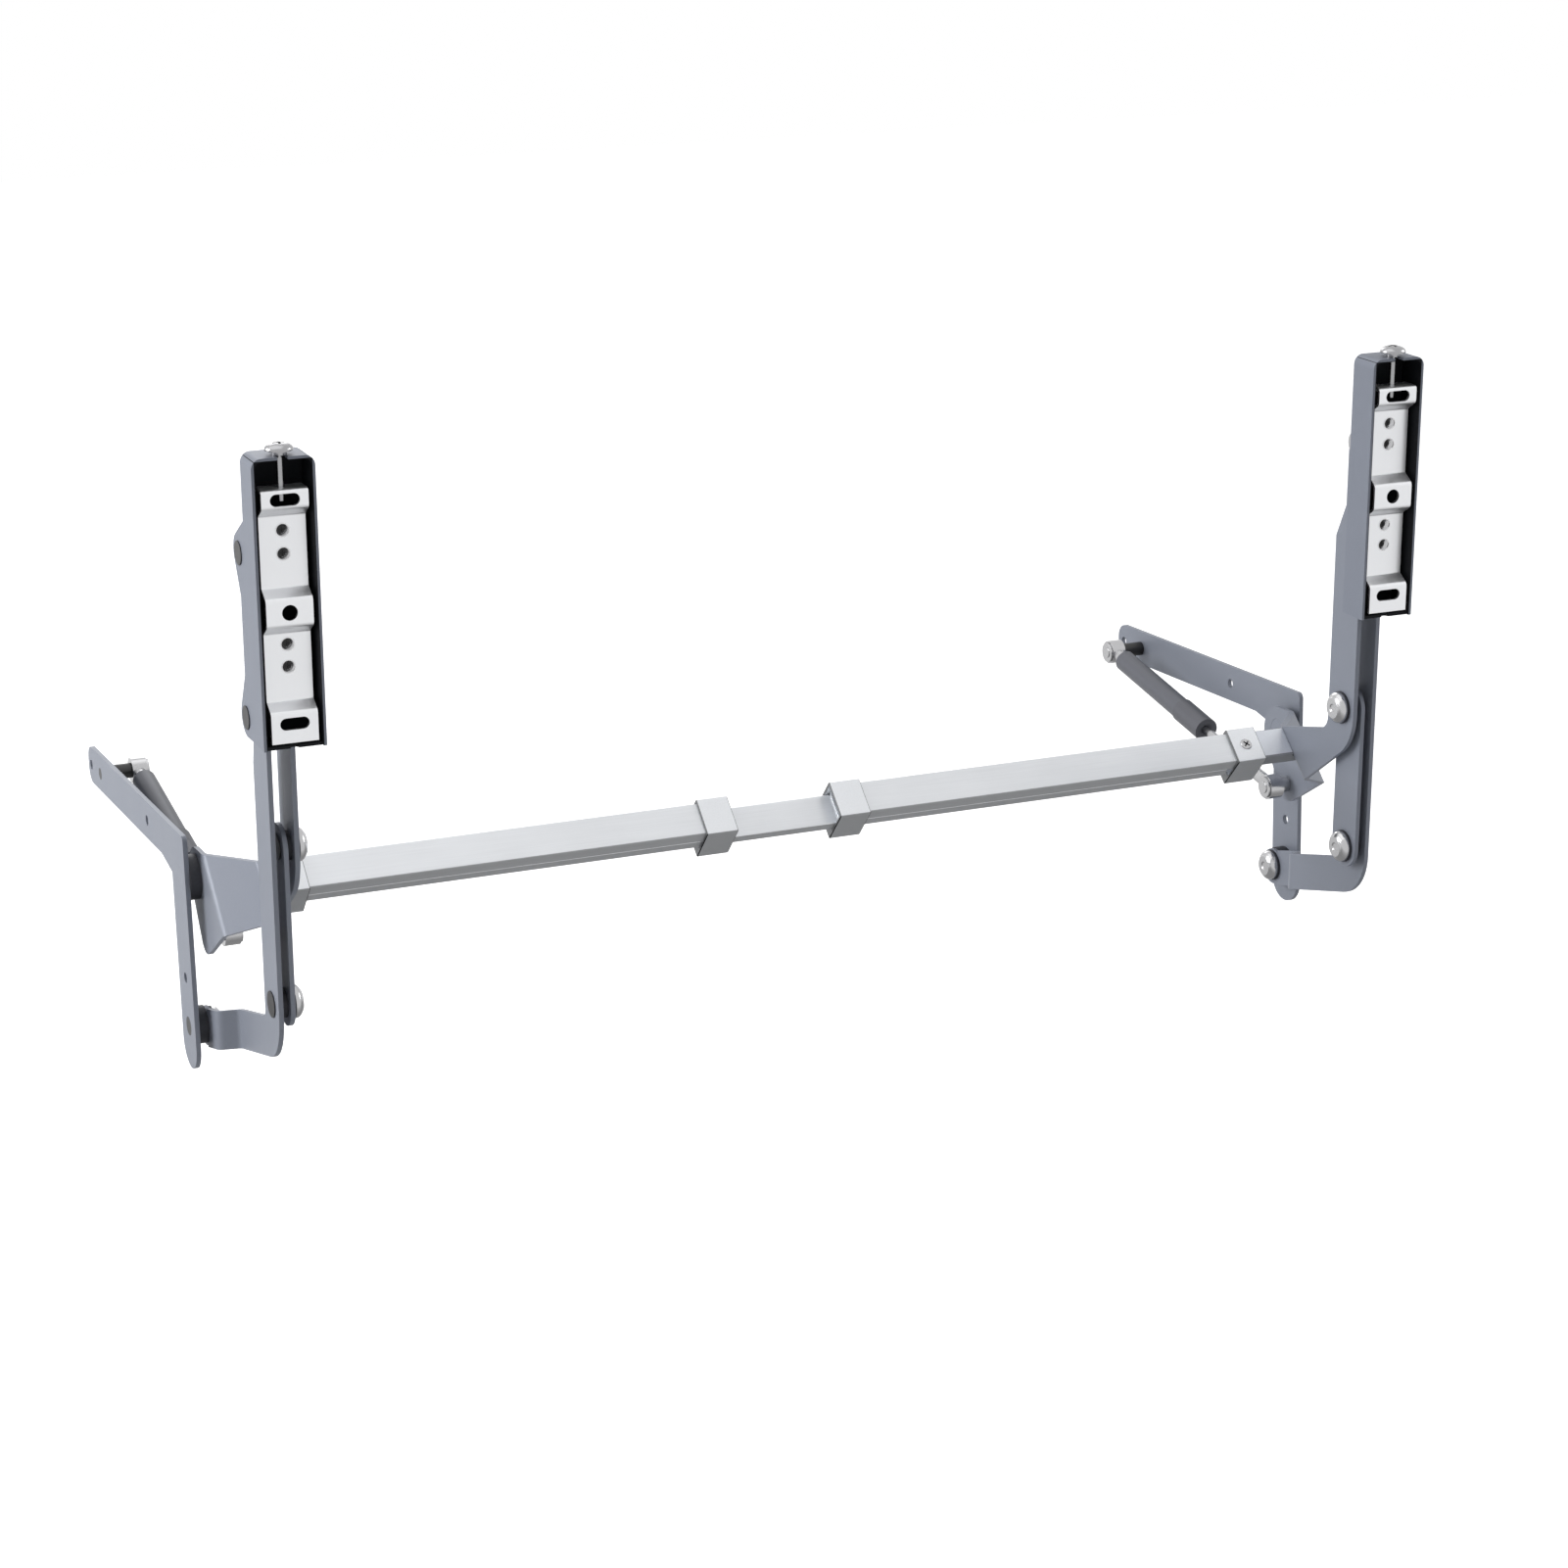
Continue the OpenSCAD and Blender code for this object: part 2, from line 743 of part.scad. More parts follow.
module spring_piston(side) {
    color(dark) on_side(side) along_spring(piston_at) difference() {
        cylinder(r = tube_d / 2 - 1.2 - fit, h = piston_l);
        translate([0, 0, -1]) cylinder(d = rod_d, h = piston_l + 2);
    }
}

module spring_rod_eye(side) {
    color(nickel) on_side(side) {
        difference() {
            union() {
                eye(lower_stud_at, stud_d / 2);
                along_spring(spring_l - 26) cylinder(r = neck_r, h = 26 - eye_r + 1);
            }
            pin(lower_stud_at, 0, 60, stud_d / 2);
            along_spring(spring_l - 27) cylinder(d = rod_d, h = 15);
        }
    }
}

// Turns and moves to the middle of the stabiliser bar's section
module on_bar() {
    rotate([bar_tilt, 0, 0]) translate([0, bar_y, bar_z]) children();
}

// Bar along X with a rounded section, from a depth inwards
module bar_length(from, length, low, high, width) {
    r = 1.2;
    translate([half_w - from - length, 0, 0])
        rotate([90, 0, 90])
        linear_extrude(length) {
            translate([-width / 2 + r, low]) square([width - 2 * r, high - low]);
            translate([-width / 2, low + r]) square([width, high - low - 2 * r]);
            for (y = [-width / 2 + r, width / 2 - r], z = [low + r, high - r]) {
                translate([y, z]) circle(r = r);
            }
        }
}

module outer_bar(side, bar_end, collar) {
    start = collar + 4;
    color(aluminium) on_side(side) on_bar() difference() {
        bar_length(start, bar_end - start, bar_low, bar_top, bar_w);
        translate([half_w - bar_end - 1, -bar_w / 2 + bar_wall, bar_low + bar_wall])
            cube([bar_end - start + 2, bar_w - 2 * bar_wall, bar_t - 2 * bar_wall]);
        translate([half_w - collar - collar_l / 2, 0, bar_top - bar_wall - 1])
            cylinder(r = clamp_r + fit, h = bar_wall + 2);
    }
}

module centre_bar() {
    color(aluminium) on_side(left) on_bar()
        bar_length(centre_start, centre_l, centre_top - centre_t, centre_top, centre_w);
}

module collar(from) {
    passage_w = bar_w + 0.1;
    floor_z = centre_top - centre_t - gap;
    difference() {
        bar_length(from, collar_l, -collar_half_h, collar_half_h, 2 * collar_half_w);
        translate([half_w - from - collar_l - 1, -passage_w / 2, floor_z])
            cube([collar_l + 2, passage_w, bar_top - floor_z + fit]);
    }
}

module bar_collars(side, mid_collar, end_collar) {
    color(zinc) on_side(side) on_bar() difference() {
        union() {
            collar(mid_collar);
            collar(end_collar);
        }
        translate([half_w - end_collar - collar_l / 2, 0, 0]) cylinder(r = clamp_r + fit, h = 20);
    }
}

// Zinc block that joins a bar to its lever: a tongue inside the bar and a bevelled end on the web
module bar_plug(side, collar) {
    end_x = half_w - lever_face - gap;
    bevel_top = front_fold - bar_z - 0.9;
    bevel = (lever_layer - rear_layer) / (front_fold - rear_fold);
    tongue_from = collar + 4;
    low = bar_low + 0.2;
    shelf = bar_low + bar_wall;
    top = bar_top - 0.2;
    color(zinc) on_side(side) on_bar() difference() {
        union() {
            translate([0, 9.9, 0])
                rotate([90, 0, 0])
                linear_extrude(20.9)
                polygon([
                    [half_w - tongue_from, low],
                    [half_w - tongue_from, top],
                    [end_x, top],
                    [end_x, bevel_top],
                    [end_x + bevel * (bevel_top - low), low]
                ]);
            translate([half_w - collar - 40, -bar_w / 2 + bar_wall, shelf])
                cube([37, bar_w - 2 * bar_wall, bar_t - 2 * bar_wall]);
        }
        translate([half_w - collar - collar_l / 2, 0, bar_top - 6]) cylinder(r = clamp_r, h = 20);
    }
}

module clamp_screw(side, collar) {
    head_r = 4;
    head_h = 0.7;
    color(nickel) on_side(side) on_bar()
        translate([half_w - collar - collar_l / 2, 0, bar_top - 6])
        difference() {
            union() {
                cylinder(r = clamp_r, h = 7.7);
                translate([0, 0, 7.65]) cylinder(r1 = head_r, r2 = head_r - 0.5, h = head_h);
            }
            translate([0, 0, 7.65 + head_h]) rotate(45) cross_recess(5, 1.6);
        }
}

wall_plate(left);  // left_wall_plate
main_pivot_pin(left);  // left_main_pivot_pin
arm_pivot_rivet(left);  // left_arm_pivot_rivet
wall_washers(left);  // left_wall_washers
upper_stud_part(left);  // left_upper_stud
upper_lever(left);  // left_upper_lever
knee_rivet(left);  // left_knee_rivet
knee_washers(left);  // left_knee_washers
lower_arm(left);  // left_lower_arm
link(left);  // left_link
link_rivet(left);  // left_link_rivet
link_washers(left);  // left_link_washers
door_bracket(left);  // left_door_bracket
bracket_pins(left);  // left_bracket_pins
bracket_spacers(left);  // left_bracket_spacers
adjuster_plate(left);  // left_adjuster_plate
adjuster_screw(left);  // left_adjuster_screw
tilt_screws(left);  // left_tilt_screws
spring_tube(left);  // left_spring_tube
spring_tube_eye(left);  // left_spring_tube_eye
spring_sleeve(left);  // left_spring_sleeve
spring_rod(left);  // left_spring_rod
spring_piston(left);  // left_spring_piston
spring_rod_eye(left);  // left_spring_rod_eye
lower_stud(left);  // left_lower_stud
wall_plate(right);  // right_wall_plate
main_pivot_pin(right);  // right_main_pivot_pin
arm_pivot_rivet(right);  // right_arm_pivot_rivet
wall_washers(right);  // right_wall_washers
upper_stud_part(right);  // right_upper_stud
upper_lever(right);  // right_upper_lever
knee_rivet(right);  // right_knee_rivet
knee_washers(right);  // right_knee_washers
lower_arm(right);  // right_lower_arm
link(right);  // right_link
link_rivet(right);  // right_link_rivet
link_washers(right);  // right_link_washers
door_bracket(right);  // right_door_bracket
bracket_pins(right);  // right_bracket_pins
bracket_spacers(right);  // right_bracket_spacers
adjuster_plate(right);  // right_adjuster_plate
adjuster_screw(right);  // right_adjuster_screw
tilt_screws(right);  // right_tilt_screws
spring_tube(right);  // right_spring_tube
spring_tube_eye(right);  // right_spring_tube_eye
spring_sleeve(right);  // right_spring_sleeve
spring_rod(right);  // right_spring_rod
spring_piston(right);  // right_spring_piston
spring_rod_eye(right);  // right_spring_rod_eye
lower_stud(right);  // right_lower_stud
centre_bar();
outer_bar(left, left_bar_end, left_end_collar);  // left_bar
outer_bar(right, right_bar_end, right_end_collar);  // right_bar
bar_collars(left, left_mid_collar, left_end_collar);  // left_bar_collars
bar_collars(right, right_mid_collar, right_end_collar);  // right_bar_collars
bar_plug(left, left_end_collar);  // left_bar_plug
bar_plug(right, right_end_collar);  // right_bar_plug
clamp_screw(left, left_end_collar);  // left_clamp_screw
clamp_screw(right, right_end_collar);  // right_clamp_screw
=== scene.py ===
import json
import math

import bmesh
import bpy
from mathutils import Matrix, Vector

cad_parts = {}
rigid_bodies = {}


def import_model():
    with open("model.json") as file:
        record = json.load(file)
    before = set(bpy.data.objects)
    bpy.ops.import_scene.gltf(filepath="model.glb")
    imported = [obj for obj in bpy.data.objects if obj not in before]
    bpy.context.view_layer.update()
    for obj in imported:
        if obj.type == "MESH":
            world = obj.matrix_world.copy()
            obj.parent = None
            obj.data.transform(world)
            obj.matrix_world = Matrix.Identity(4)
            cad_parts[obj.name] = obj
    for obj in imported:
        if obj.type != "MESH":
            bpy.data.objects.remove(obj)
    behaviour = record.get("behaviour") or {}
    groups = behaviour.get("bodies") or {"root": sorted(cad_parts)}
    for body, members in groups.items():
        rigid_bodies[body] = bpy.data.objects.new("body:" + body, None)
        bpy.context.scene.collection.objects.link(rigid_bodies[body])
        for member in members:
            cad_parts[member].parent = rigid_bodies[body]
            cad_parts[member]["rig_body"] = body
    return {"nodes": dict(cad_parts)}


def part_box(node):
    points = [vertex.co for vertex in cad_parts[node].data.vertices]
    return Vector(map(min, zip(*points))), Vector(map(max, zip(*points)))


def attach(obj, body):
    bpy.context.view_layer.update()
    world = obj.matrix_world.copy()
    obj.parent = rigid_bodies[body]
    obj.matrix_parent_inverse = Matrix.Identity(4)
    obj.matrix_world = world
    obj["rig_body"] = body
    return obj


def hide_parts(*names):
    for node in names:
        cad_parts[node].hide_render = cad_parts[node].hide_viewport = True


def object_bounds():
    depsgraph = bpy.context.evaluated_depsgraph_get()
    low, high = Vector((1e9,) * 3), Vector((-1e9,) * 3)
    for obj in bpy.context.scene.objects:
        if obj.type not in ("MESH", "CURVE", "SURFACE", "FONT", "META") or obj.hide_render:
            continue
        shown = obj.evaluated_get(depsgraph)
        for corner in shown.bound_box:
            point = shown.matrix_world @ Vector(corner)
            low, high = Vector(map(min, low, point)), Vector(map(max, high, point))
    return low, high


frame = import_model()
cad_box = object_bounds()
nodes = frame["nodes"]
scene = bpy.context.scene

# The camera stands left of the fitting, well in front and above, where the photograph was taken.
# It looks slightly down across the bar, with a long lens.
heading = math.radians(23.267)
pitch = math.radians(17.456)
roll = math.radians(0.136)
photo_px = 1601
focal_px = 3622.2
eye = Vector((-0.468305, -2.018692, 0.764913))
forward = Vector((
    math.sin(heading) * math.cos(pitch),
    math.cos(heading) * math.cos(pitch),
    -math.sin(pitch),
))
level_right = Vector((math.cos(heading), -math.sin(heading), 0.0))
level_down = forward.cross(level_right)
right = math.cos(roll) * level_right + math.sin(roll) * level_down
down = forward.cross(right)
camera_data = bpy.data.cameras.new("camera")
camera_data.sensor_width = 36.0
camera_data.lens = focal_px / photo_px * camera_data.sensor_width
camera_data.clip_start = 0.05
camera_data.clip_end = 50.0
camera = bpy.data.objects.new("camera", camera_data)
camera.matrix_world = Matrix.Translation(eye) @ Matrix((
    (right.x, -down.x, -forward.x),
    (right.y, -down.y, -forward.y),
    (right.z, -down.z, -forward.z),
)).to_4x4()
scene.collection.objects.link(camera)
scene.camera = camera
scene.view_settings.view_transform = "Standard"


class Number:
    """A socket that holds a number; each Python operator on it adds one Math node."""

    def __init__(self, finish, socket):
        self.finish = finish
        self.socket = socket

    def math(self, operation, *values):
        node = self.finish.node("ShaderNodeMath", {"operation": operation}, dict(enumerate(values)))
        return Number(self.finish, node.outputs[0])

    def __add__(self, other):
        return self.math("ADD", self, other)

    def __radd__(self, other):
        return self.math("ADD", other, self)

    def __sub__(self, other):
        return self.math("SUBTRACT", self, other)

    def __rsub__(self, other):
        return self.math("SUBTRACT", other, self)

    def __mul__(self, other):
        return self.math("MULTIPLY", self, other)

    def __rmul__(self, other):
        return self.math("MULTIPLY", other, self)

    def clipped(self):
        return self.math("MINIMUM", self.math("MAXIMUM", self, 0.0), 1.0)

    def within(self, low, high):
        """One where the number lies between low and high, otherwise zero. A bound of one metre, or
        of minus one, lies beyond every piece."""
        return self.math("GREATER_THAN", self, low) * self.math("LESS_THAN", self, high)


class Finish:
    """A material, or the world, whose nodes are all added by one method."""

    def __init__(self, owner):
        owner.use_nodes = True
        self.owner = owner
        self.tree = owner.node_tree
        self.tree.nodes.clear()

    def node(self, kind, settings=None, inputs=None):
        """Adds a node: its settings first, then a value or a link for each named or numbered socket."""
        node = self.tree.nodes.new(kind)
        for key, value in (settings or {}).items():
            setattr(node, key, value)
        for key, value in (inputs or {}).items():
            value = value.socket if isinstance(value, Number) else value
            if isinstance(value, bpy.types.NodeSocket):
                self.tree.links.new(value, node.inputs[key])
            else:
                node.inputs[key].default_value = value
        return node

    def number(self, kind, output, settings=None, inputs=None):
        return Number(self, self.node(kind, settings, inputs).outputs[output])


# The studio is a pale floor below the fitting and a soft surround, as in a catalogue picture.
# The camera sees both as white. Polished metal reflects them too, and in those reflections the
# floor under the fitting carries a painted shadow, less bright than the open floor in front and
# behind. It lies below the closed fitting.
floor_drop = 0.27
floor_z = cad_box[0][2] - floor_drop
surround_light = 0.24
floor_albedo = 0.82


def seen_as_white(finish):
    """One for rays off a gloss or through a glass, and one for rays from the camera."""
    path = finish.node("ShaderNodeLightPath")
    glossy = Number(finish, path.outputs["Is Glossy Ray"])
    mirrored = (glossy + Number(finish, path.outputs["Is Transmission Ray"])).clipped()
    return mirrored, Number(finish, path.outputs["Is Camera Ray"])


def glow(finish, strength):
    """Even white light of one strength."""
    return finish.node("ShaderNodeEmission", inputs={"Color": (1, 1, 1, 1), "Strength": strength}).outputs[0]


def either(finish, choice, plain, chosen):
    """The plain shader where choice is zero, and the chosen one where it is one."""
    return finish.node("ShaderNodeMixShader", inputs={0: choice, 1: plain, 2: chosen}).outputs[0]


surround = Finish(bpy.data.worlds.new("surround"))
scene.world = surround.owner
mirrored, direct = seen_as_white(surround)
lit = surround.node("ShaderNodeBackground", inputs={"Color": (1, 1, 1, 1), "Strength": surround_light})
white = surround.node("ShaderNodeBackground", inputs={"Color": (1, 1, 1, 1), "Strength": 1.0})
sky = either(surround, (mirrored + direct).clipped(), lit.outputs[0], white.outputs[0])
surround.node("ShaderNodeOutputWorld", inputs={"Surface": sky})

floor_half = 6.0
floor_mesh = bpy.data.meshes.new("floor")
floor_mesh.from_pydata(
    [(x * floor_half, y * floor_half, floor_z) for x, y in ((-1, -1), (1, -1), (1, 1), (-1, 1))],
    [], [(0, 1, 2, 3)],
)
floor = bpy.data.objects.new("floor", floor_mesh)
scene.collection.objects.link(floor)
floor_paint = Finish(bpy.data.materials.new("floor_paint"))
mirrored, direct = seen_as_white(floor_paint)
matt = floor_paint.node("ShaderNodeBsdfDiffuse", inputs={"Color": (floor_albedo,) * 3 + (1,)}).outputs[0]
filled = floor_paint.node("ShaderNodeAddShader", inputs={
    0: matt, 1: glow(floor_paint, 1.0 - floor_albedo * surround_light),
}).outputs[0]
floor_y = Number(floor_paint, floor_paint.node("ShaderNodeSeparateXYZ", inputs={
    0: floor_paint.node("ShaderNodeTexCoord").outputs["Object"],
}).outputs[1])
near_half_depth = 0.2
brighter_per_m = 1.4
# In reflections the floor near the fitting glows less: a painted shadow of the fitting.
painted_shadow_glow = 0.42
open_floor = ((floor_y.math("ABSOLUTE", floor_y) - near_half_depth) * brighter_per_m).clipped()
reflected = either(floor_paint, open_floor, glow(floor_paint, painted_shadow_glow), glow(floor_paint, 1.0))
floor_seen = either(floor_paint, direct, either(floor_paint, mirrored, matt, reflected), filled)
floor_paint.node("ShaderNodeOutputMaterial", inputs={"Surface": floor_seen})
floor_mesh.materials.append(floor_paint.owner)

# The light is a large softbox at the left, a second overhead, and weak ones right and behind.
target = (Vector(cad_box[0]) + Vector(cad_box[1])) / 2
for name, offset, size, watts in (
    ("key_softbox", (-3.0, 1.05, 0.95), 1.8, 76.0),
    ("top_softbox", (-1.0, 0.3, 3.0), 3.4, 26.0),
    ("right_softbox", (3.2, -0.6, 1.4), 1.6, 28.0),
    ("back_softbox", (0.4, 3.4, 1.6), 1.8, 20.0),
):
    lamp_data = bpy.data.lights.new(name, "AREA")
    lamp_data.shape = "SQUARE"
    lamp_data.size = size
    lamp_data.energy = watts
    lamp = bpy.data.objects.new(name, lamp_data)
    lamp.location = target + Vector(offset)
    lamp.rotation_euler = (-Vector(offset)).to_track_quat("-Z", "Y").to_euler()
    scene.collection.objects.link(lamp)


# The wall plates are pressed from 3 mm steel sheet and painted in a fine blue-grey metallic.
# Each is screwed to a side of the cabinet and carries that side's pivots and gas spring.
def softened(node, finish, edge):
    """Replaces a CAD node by a welded copy whose corners are rounded to a width."""
    weld_gap = 0.000002
    flat_angle = math.radians(0.5)
    sharp_angle = math.radians(30)
    source = nodes[node]
    mesh = source.data.copy()
    mesh.name = node + "_finished"
    work = bmesh.new()
    work.from_mesh(mesh)
    bmesh.ops.remove_doubles(work, verts=work.verts, dist=weld_gap)
    bmesh.ops.dissolve_limit(work, angle_limit=flat_angle, verts=work.verts, edges=work.edges)
    for face in work.faces:
        face.smooth = True
    work.to_mesh(mesh)
    work.free()
    piece = bpy.data.objects.new(node + "_finished", mesh)
    scene.collection.objects.link(piece)
    bevel = piece.modifiers.new("rounded_edges", "BEVEL")
    bevel.width = edge
    bevel.segments = 2
    bevel.limit_method = "ANGLE"
    bevel.angle_limit = sharp_angle
    flat = piece.modifiers.new("flat_faces", "WEIGHTED_NORMAL")
    flat.mode = "FACE_AREA"
    flat.weight = 90
    mesh.materials.clear()
    mesh.materials.append(finish)
    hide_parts(node)
    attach(piece, source["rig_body"])
    return piece


def toned_metal(name, colour, metallic, roughness, grain, spread, relief, shaded=None, gloss=0.3):
    """A paint or metal whose tone, gloss and relief vary: fine noise stretched by grain, and broad
    noise that lies over it. shaded, if given, is the factor of a darker tone that paints shade, and a
    function that returns the share of that tone from x, y and z; the gloss is rougher there too."""
    broad_scale = 22.0
    broad_spread = 0.7
    broad_roughness = 0.16
    fine_roughness = 0.12
    dull_roughness = 0.2
    relief_height = 0.0003
    finish = Finish(bpy.data.materials.new(name))
    place = finish.node("ShaderNodeTexCoord").outputs["Object"]
    stretched = finish.node("ShaderNodeMapping", inputs={"Vector": place, "Scale": grain}).outputs[0]
    fine = finish.number("ShaderNodeTexNoise", 0, inputs={"Vector": stretched, "Scale": 1.0, "Detail": 3.0})
    broad = finish.number("ShaderNodeTexNoise", 0, inputs={
        "Vector": place, "Scale": broad_scale, "Detail": 5.0,
    })
    tone = (fine - 0.5) * spread + (broad - 0.5) * (broad_spread * spread) + 1.0
    rough = (broad - 0.5) * broad_roughness + (fine - 0.5) * fine_roughness + roughness
    if shaded:
        second, share = shaded
        axes = finish.node("ShaderNodeSeparateXYZ", inputs={0: place}).outputs
        shade_share = share(*[Number(finish, axis) for axis in axes])
        tone = tone * (1.0 - shade_share * (1.0 - second)).clipped()
        rough = rough + shade_share * dull_roughness
    scaled = finish.node("ShaderNodeVectorMath", {"operation": "SCALE"}, {0: colour, "Scale": tone})
    bump = finish.node("ShaderNodeBump", inputs={
        "Strength": relief, "Distance": relief_height, "Height": fine,
    })
    surface = finish.node("ShaderNodeBsdfPrincipled", inputs={
        "Base Color": scaled.outputs[0], "Metallic": metallic, "Roughness": rough.clipped(),
        "Normal": bump.outputs[0], "Specular IOR Level": gloss,
    })
    finish.node("ShaderNodeOutputMaterial", inputs={"Surface": surface.outputs[0]})
    return finish.owner


def sheet_paint(name, shaded=None, gloss=0.3):
    """The blue-grey metallic paint of the sheet parts."""
    return toned_metal(
        name, (0.24, 0.26, 0.31), metallic=0.15, roughness=0.42, grain=(1400, 1400, 1400),
        spread=0.12, relief=0.08, shaded=shaded, gloss=gloss,
    )


sheet_edge = 0.00035
painted_steel = sheet_paint("painted_steel")
for side in ("left", "right"):
    softened(side + "_wall_plate", painted_steel, sheet_edge)

# A turned pin, a rivet with a large domed head and a stud are riveted into each wall plate.
# They are nickel plated, and the main pin is painted; the ends in the sheets and the stud's shaft
# are darkened, partly for the paint over them and partly as painted shade. The rounding stays
# narrow, as it fills inner corners too, next to the clearances.
turned_edge = 0.0001
overall_w = cad_box[1][0] - cad_box[0][0]
nickel_tone = (0.5, 0.5, 0.51)


def nickel_plating(name, colour=nickel_tone, roughness=0.2, shaded=None):
    """Nickel plating with a fine, even grain."""
    return toned_metal(
        name, colour, metallic=1.0, roughness=roughness, grain=(500, 500, 500),
        spread=0.06, relief=0.02, shaded=shaded,
    )


def depth_band(low, high):
    """A share that is one between two distances from the nearer mounting face."""
    return lambda x, y, z: x.within(low, high) + x.within(overall_w - high, overall_w - low)


def outer_ends(piece, length):
    """A share that is one at the ends of both sides' pieces that face the cabinet's sides."""
    return depth_band(-1.0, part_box("left_" + piece)[0][0] + length)


def shade_ended(piece, length=0.0009):
    """Nickel for one kind of turned piece, darkened over a length at the end towards the cabinet's side,
    partly as painted shade.
    """
    end_shade = 0.12
    return nickel_plating(piece + "_nickel", shaded=(end_shade, outer_ends(piece, length)))


nickel = nickel_plating("nickel")
plate_depth = 0.0032
arm_rivet_nickel = shade_ended("arm_pivot_rivet", plate_depth)
stud_shaft = 0.0202
stud_nickel = shade_ended("upper_stud", stud_shaft)
for side in ("left", "right"):
    softened(side + "_main_pivot_pin", painted_steel, turned_edge)
    softened(side + "_arm_pivot_rivet", arm_rivet_nickel, turned_edge)
    softened(side + "_upper_stud", stud_nickel, turned_edge)

# Spacers of dark oxidised steel keep the lever and the arm off the plate, and a thin dark washer
# lies under the arm rivet's head.
dark_oxide = toned_metal(
    "dark_oxide", (0.05, 0.052, 0.06), metallic=0.5, roughness=0.5, grain=(700, 700, 700),
    spread=0.2, relief=0.05,
)
for side in ("left", "right"):
    softened(side + "_wall_washers", dark_oxide, turned_edge)

# The upper levers are folded from the same painted sheet: a flange on the main pivot, an oblique
# web for the bar, and a front plate that rises to the door. The knee rivet is pressed into them.
knee_nickel = shade_ended("knee_rivet")
for side in ("left", "right"):
    softened(side + "_upper_lever", painted_steel, sheet_edge)
    softened(side + "_knee_rivet", knee_nickel, turned_edge)
    softened(side + "_knee_washers", dark_oxide, turned_edge)

# The lower arms, with their jog, and the straight links between the knees are painted sheet too.
# The link's rivet has a domed head over a dark washer.
link_nickel = shade_ended("link_rivet")
for side in ("left", "right"):
    softened(side + "_lower_arm", painted_steel, sheet_edge)
    softened(side + "_link", painted_steel, sheet_edge)
    softened(side + "_link_rivet", link_nickel, turned_edge)
    softened(side + "_link_washers", dark_oxide, turned_edge)

# The door brackets are 2 mm channels of painted sheet; painted shade makes them much darker inside.
# Two pins with dark spacers join the ears at their back to the lever and the lower arm.
channel_sheet = 0.002
ear_depth = 0.0245


def shaded_channel_insides(x, y, z):
    """One inside the channels' outer walls and in front of their backs, where painted shade darkens them."""
    skin = 0.8 * channel_sheet
    depth = 0.0
    for side in ("left", "right"):
        low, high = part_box(side + "_door_bracket")
        back = low[1] + ear_depth - channel_sheet
        across = x.within(low[0] + skin, high[0] - skin)
        depth = depth + across * y.within(low[1] - 1.0, back) * z.within(-1.0, high[2] - skin)
    return depth


# Painted shade darkens the channels' insides.
channel_shade = 0.06
channel_shaded_steel = sheet_paint("channel_shaded_steel", shaded=(channel_shade, shaded_channel_insides), gloss=0.1)
ear_nickel = shade_ended("bracket_pins")
for side in ("left", "right"):
    softened(side + "_door_bracket", channel_shaded_steel, sheet_edge)
    softened(side + "_bracket_pins", ear_nickel, turned_edge)
    softened(side + "_bracket_spacers", dark_oxide, turned_edge)

# The adjuster plates are bent from 2 mm sheet, bright zinc plated, and screwed to the door.
# A domed screw lifts each one, and four dished screws set the tilt.
zinc_plate = toned_metal(
    "zinc_plate", (0.86, 0.87, 0.89), metallic=0.85, roughness=0.34, grain=(300, 300, 60),
    spread=0.035, relief=0.002,
)
screw_nickel = nickel_plating("screw_nickel", (0.36, 0.36, 0.37), roughness=0.24)
cup_depth = 0.0029
# Painted shade darkens the floors of the tilt screws' cups.
cup_shade = 0.05


def shaded_cup_floors(x, y, z):
    """One at the floor of the tilt screws' cups, which painted shade darkens."""
    return y.within(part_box("left_tilt_screws")[0][1] + cup_depth, 1.0)


cupped_nickel = nickel_plating(
    "cupped_nickel", (0.75, 0.75, 0.76), roughness=0.22, shaded=(cup_shade, shaded_cup_floors),
)
for side in ("left", "right"):
    softened(side + "_adjuster_plate", zinc_plate, sheet_edge)
    softened(side + "_adjuster_screw", screw_nickel, turned_edge)
    softened(side + "_tilt_screws", cupped_nickel, turned_edge)

# Each gas spring has a satin grey tube with a darker end sleeve, and a bright rod with its piston.
# Plated eyes at both ends sit on a stud in the wall plate and a stud in the lever.
def spring_paint(name, colour, roughness):
    """Satin paint with a soft grain."""
    return toned_metal(
        name, colour, metallic=0.2, roughness=roughness, grain=(900, 900, 900), spread=0.1, relief=0.05,
    )


tube_paint = spring_paint("tube_paint", (0.125, 0.13, 0.15), roughness=0.42)
sleeve_paint = spring_paint("sleeve_paint", (0.115, 0.118, 0.135), roughness=0.46)
for side in ("left", "right"):
    softened(side + "_spring_tube", tube_paint, turned_edge)
    softened(side + "_spring_sleeve", sleeve_paint, turned_edge)
    softened(side + "_spring_piston", sleeve_paint, turned_edge)
    for piece in ("_spring_tube_eye", "_spring_rod", "_spring_rod_eye", "_lower_stud"):
        softened(side + piece, nickel, turned_edge)

# The stabiliser bar is satin aluminium, drawn in lengths: an outer bar from each side slides over
# the centre bar, and the grain runs along them. The narrow faces are darkened with painted shade,
# and their gloss is rougher.
bar_tilt = math.radians(42)
bar_y = -0.04873
bar_z = 0.06885
bar_half_w = 0.0112
face_skin = 0.0006


def across_bar(y, z):
    """Distance from the bar's mid plane, across its wide face."""
    offset = (y - bar_y) * math.cos(bar_tilt) + (z - bar_z) * math.sin(bar_tilt)
    return offset.math("ABSOLUTE", offset)


def shaded_narrow_faces(x, y, z):
    """One on the narrow faces of the outer bars and the centre bar, which painted shade darkens."""
    return across_bar(y, z).within(bar_half_w - face_skin, 1.0)


bar_edge = 0.0003
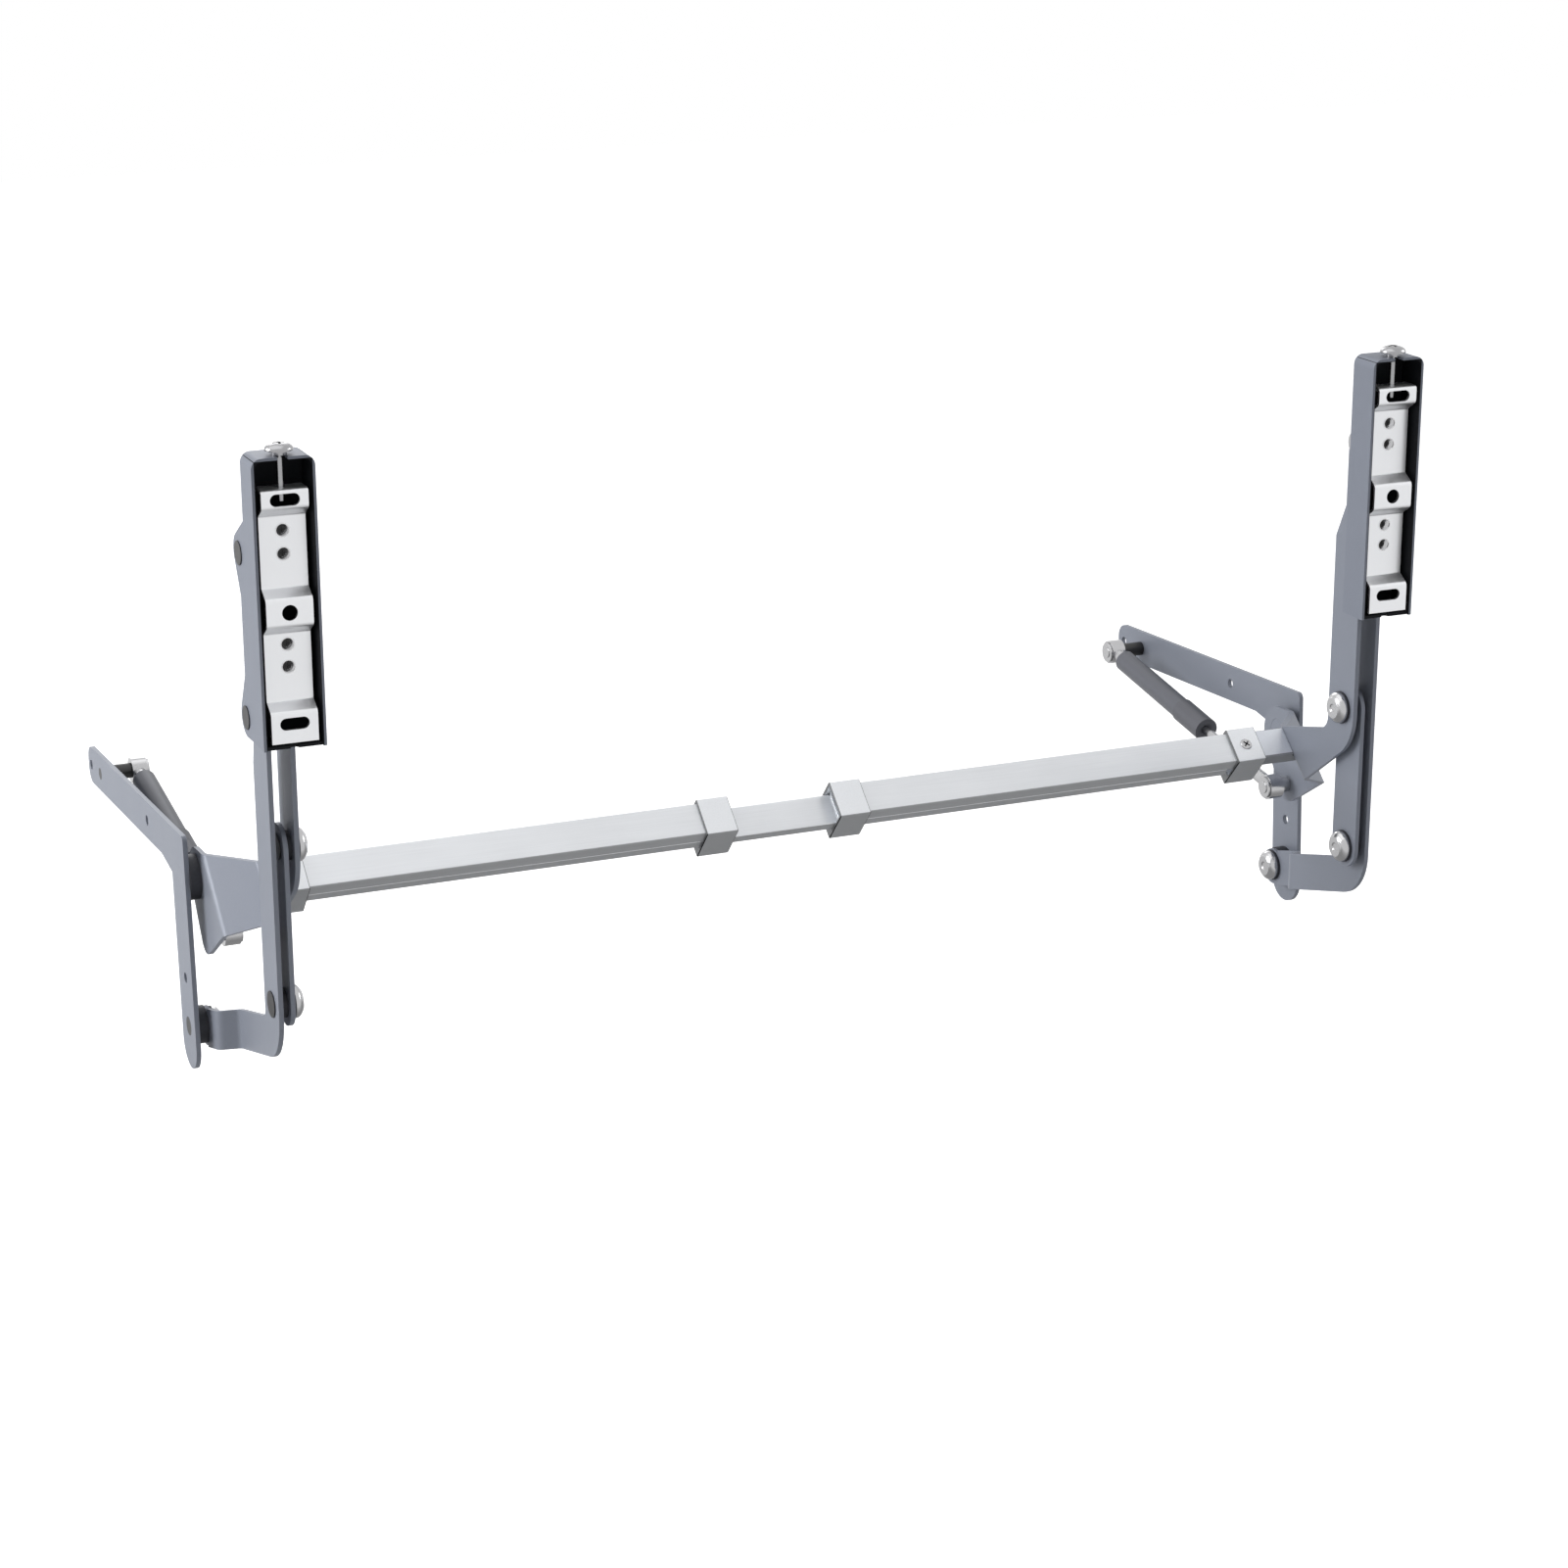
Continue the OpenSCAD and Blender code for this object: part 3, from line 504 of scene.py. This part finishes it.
# The narrow faces' darker tone is painted shade.
bar_shade = 0.5
bar_aluminium = toned_metal(
    "bar_aluminium", (0.93, 0.95, 0.98), metallic=0.45, roughness=0.34, grain=(24, 1600, 1600),
    spread=0.12, relief=0.03, shaded=(bar_shade, shaded_narrow_faces),
)
for node in ("centre_bar", "left_bar", "right_bar"):
    softened(node, bar_aluminium, bar_edge)

# Collars and plugs are plated zinc castings, with a slightly pebbled skin. The collars guide the
# bars, and a clamp screw in each end collar holds the plug that sits on the lever's web.
collar_half_w = 0.013
collar_edge = 0.00025
# The collars' narrow and end faces are darkened as painted shade.
collar_shade = 0.46
plug_half_w = 0.0102
plug_edge = 0.0004
# The plugs' narrow faces are darkened as painted shade.
plug_shade = 0.36
# The clamp screws' recess and shank are darkened as painted shade.
recess_shade = 0.04


def shaded_collar_faces(x, y, z):
    """Shares of a darker tone, painted shade, on the collars' narrow faces and on their end faces."""
    share = across_bar(y, z).within(collar_half_w - face_skin, 1.0)
    skin = 0.0004
    end_share = 1.4
    for side in ("left", "right"):
        low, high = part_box(side + "_bar_collars")
        screw_low, screw_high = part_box(side + "_clamp_screw")
        screw_x = (screw_low[0] + screw_high[0]) / 2
        length = 2 * min(screw_x - low[0], high[0] - screw_x)
        for end in (low[0], low[0] + length, high[0] - length, high[0]):
            share = share + x.within(end - skin, end + skin) * end_share
    return share


def shaded_plug_sides(x, y, z):
    """One on the narrow faces of the plugs, which painted shade darkens."""
    return across_bar(y, z).within(plug_half_w - face_skin, 1.0)


def along_screw(y, z):
    """Distance along the clamp screws' axis."""
    return z * math.cos(bar_tilt) - y * math.sin(bar_tilt)


def shaded_screw_recess(x, y, z):
    """One in the cross recess and on the shank of the clamp screws, below their heads' tops, where painted
    shade darkens them.
    """
    below_top = 0.0005
    top = max(along_screw(*corner.co[1:]) for corner in nodes["left_clamp_screw"].data.vertices)
    return along_screw(y, z).within(-1.0, top - below_top)


def casting(name, colour, roughness, shaded):
    """Plated zinc with a pebbled skin."""
    return toned_metal(
        name, colour, metallic=0.5, roughness=roughness, grain=(1100, 1100, 1100),
        spread=0.12, relief=0.08, shaded=shaded,
    )


zinc_cast = casting("zinc_cast", (0.92, 0.94, 0.97), 0.42, (collar_shade, shaded_collar_faces))
plug_cast = casting("plug_cast", (0.78, 0.81, 0.87), 0.38, (plug_shade, shaded_plug_sides))
clamp_nickel = nickel_plating("clamp_nickel", roughness=0.24, shaded=(recess_shade, shaded_screw_recess))
for side in ("left", "right"):
    softened(side + "_bar_collars", zinc_cast, collar_edge)
    softened(side + "_bar_plug", plug_cast, plug_edge)
    softened(side + "_clamp_screw", clamp_nickel, turned_edge)
